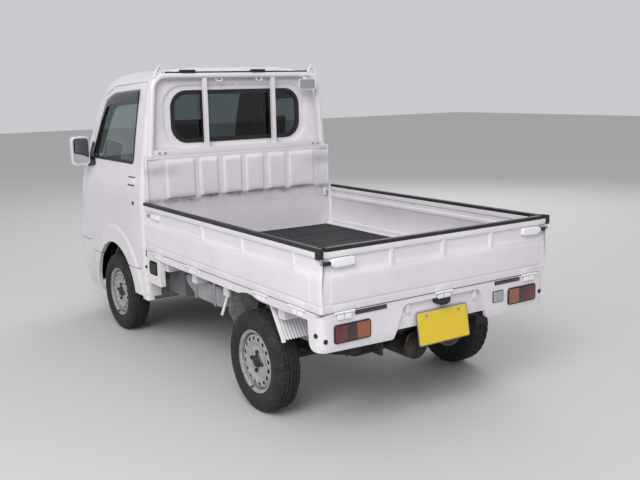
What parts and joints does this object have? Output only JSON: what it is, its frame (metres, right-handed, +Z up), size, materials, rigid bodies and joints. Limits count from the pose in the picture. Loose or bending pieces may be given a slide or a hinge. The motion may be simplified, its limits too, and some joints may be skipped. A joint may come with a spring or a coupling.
{
  "type": "kei truck",
  "caption": "Light cab-over truck with two doors, a drop-side bed with fold-down gates, a guard frame behind the cab and steered front wheels.",
  "frame": {"origin": "on the ground, under the middle of the vehicle's overall length, on its centreline", "axes": "+X forward, +Y to the vehicle's left, +Z up"},
  "size_m": [3.3978, 1.72, 1.7898],
  "materials": {
    "body_white": "gloss",
    "glass": "clear",
    "lamp_lens": "gloss",
    "headlamp_lens": "clear",
    "trim_plastic": "matte",
    "seat_fabric": "woven",
    "frame_paint": "satin",
    "mat_rubber": "matte",
    "plate_paint": "satin",
    "cast_parts": "rough",
    "pale_plastic": "matte",
    "wheel_silver": "satin",
    "tyre_rubber": "matte",
    "steel_pipe": "dull"
  },
  "bodies": {
    "root": {"cab_shell": "body_white", "cab_floor": "frame_paint", "front_bumper": "body_white", "windscreen": "glass", "rear_window": "glass", "headlamps": "headlamp_lens", "dashboard": "trim_plastic", "seats": "seat_fabric", "steering_wheel": "trim_plastic", "chassis_frame": "frame_paint", "cab_mounts": "mat_rubber", "bed_floor": "body_white", "bed_front_wall": "body_white", "guard_frame": "body_white", "work_lamp": "headlamp_lens", "bed_mat": "mat_rubber", "rear_panel": "body_white", "tail_lamps": "lamp_lens", "number_plates": "plate_paint", "fuel_filler": "body_white", "fuel_tank": "pale_plastic", "battery_box": "trim_plastic", "mudguards": "pale_plastic", "exhaust": "steel_pipe", "engine": "cast_parts", "rear_axle": "cast_parts", "leaf_springs": "frame_paint", "front_suspension": "frame_paint"},
    "door_left": {"door_left": "body_white", "door_glass_left": "glass", "mirror_left": "body_white"},
    "gate_left": {"gate_left": "body_white", "gate_rail_left": "mat_rubber"},
    "knuckle_left": {"knuckle_left": "cast_parts"},
    "wheel_front_left": {"rim_front_left": "wheel_silver", "tyre_front_left": "tyre_rubber"},
    "wheel_rear_left": {"rim_rear_left": "wheel_silver", "tyre_rear_left": "tyre_rubber"},
    "door_right": {"door_right": "body_white", "door_glass_right": "glass", "mirror_right": "body_white"},
    "gate_right": {"gate_right": "body_white", "gate_rail_right": "mat_rubber"},
    "knuckle_right": {"knuckle_right": "cast_parts"},
    "wheel_front_right": {"rim_front_right": "wheel_silver", "tyre_front_right": "tyre_rubber"},
    "wheel_rear_right": {"rim_rear_right": "wheel_silver", "tyre_rear_right": "tyre_rubber"},
    "tailgate": {"tailgate": "body_white", "tailgate_rail": "mat_rubber"}
  },
  "joints": [
    {"name": "door_left_hinge", "type": "hinge", "parent": "root", "child": "door_left", "pos_m": [1.348, 0.719, 0.7725], "axis": [0, 0, -1], "range_deg": [0, 60]},
    {"name": "door_right_hinge", "type": "hinge", "parent": "root", "child": "door_right", "pos_m": [1.348, -0.719, 0.7725], "axis": [0, 0, 1], "range_deg": [0, 60]},
    {"name": "gate_left_hinge", "type": "hinge", "parent": "root", "child": "gate_left", "pos_m": [-0.7, 0.7325, 0.651], "axis": [-1, 0, 0], "range_deg": [0, 168]},
    {"name": "gate_right_hinge", "type": "hinge", "parent": "root", "child": "gate_right", "pos_m": [-0.7, -0.7325, 0.651], "axis": [1, 0, 0], "range_deg": [0, 168]},
    {"name": "tailgate_hinge", "type": "hinge", "parent": "root", "child": "tailgate", "pos_m": [-1.6925, 0, 0.651], "axis": [0, -1, 0], "range_deg": [0, 168]},
    {"name": "steer_left", "type": "hinge", "parent": "root", "child": "knuckle_left", "pos_m": [0.86, 0.545, 0.265], "axis": [0, 0, 1], "range_deg": [-35, 35]},
    {"name": "steer_right", "type": "hinge", "parent": "root", "child": "knuckle_right", "pos_m": [0.86, -0.545, 0.265], "axis": [0, 0, 1], "range_deg": [-35, 35]},
    {"name": "wheel_front_left_spin", "type": "hinge", "parent": "knuckle_left", "child": "wheel_front_left", "pos_m": [0.86, 0.65, 0.265], "axis": [0, 1, 0], "continuous": true},
    {"name": "wheel_front_right_spin", "type": "hinge", "parent": "knuckle_right", "child": "wheel_front_right", "pos_m": [0.86, -0.65, 0.265], "axis": [0, 1, 0], "continuous": true},
    {"name": "wheel_rear_left_spin", "type": "hinge", "parent": "root", "child": "wheel_rear_left", "pos_m": [-1.04, 0.65, 0.265], "axis": [0, 1, 0], "continuous": true},
    {"name": "wheel_rear_right_spin", "type": "hinge", "parent": "root", "child": "wheel_rear_right", "pos_m": [-1.04, -0.65, 0.265], "axis": [0, 1, 0], "continuous": true}
  ],
  "couplings": [
    {"joint": "steer_right", "follows": "steer_left", "ratio": 1}
  ]
}
